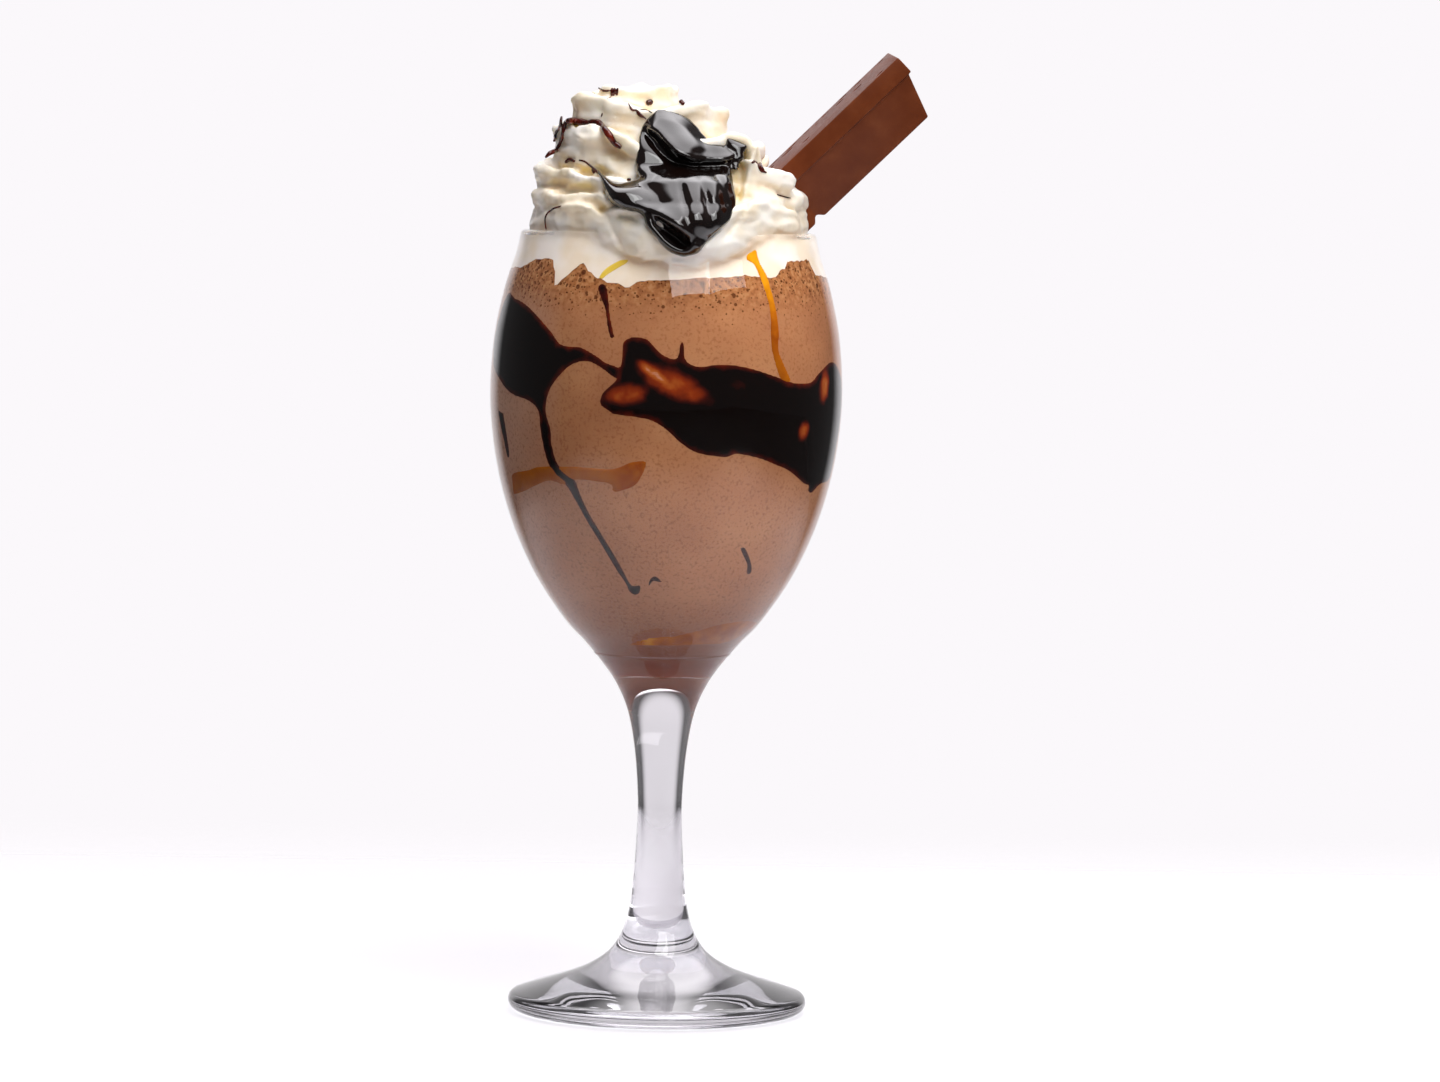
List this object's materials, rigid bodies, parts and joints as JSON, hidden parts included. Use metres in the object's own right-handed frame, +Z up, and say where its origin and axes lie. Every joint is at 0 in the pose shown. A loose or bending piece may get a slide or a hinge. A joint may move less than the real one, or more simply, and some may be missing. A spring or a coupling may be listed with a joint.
{
  "type": "chocolate milkshake",
  "caption": "Chocolate milkshake in a clear stemmed glass, topped with whipped cream, poured fudge sauce and a chocolate bar leaning out over the rim.",
  "frame": {"origin": "centre of the flat underside of the glass's foot, on the glass's axis", "axes": "+Z up along the glass's axis; -Y is the front, where the fudge sauce runs over the rim; +X is the side that the chocolate bar leans out to"},
  "size_m": [0.1056, 0.0881, 0.2353],
  "materials": {
    "clear_glass": "clear polished glass",
    "chocolate_milk": "thick chocolate milkshake with fine bubbles, seen through the glass",
    "whipped_cream": "soft satin whipped cream",
    "fudge": "wet, very glossy dark fudge sauce",
    "milk_chocolate": "satin milk chocolate"
  },
  "bodies": {
    "root": {"glass": "clear_glass", "milkshake": "chocolate_milk", "whipped_cream": "whipped_cream", "fudge_sauce": "fudge", "chocolate_bar": "milk_chocolate"}
  },
  "joints": []
}
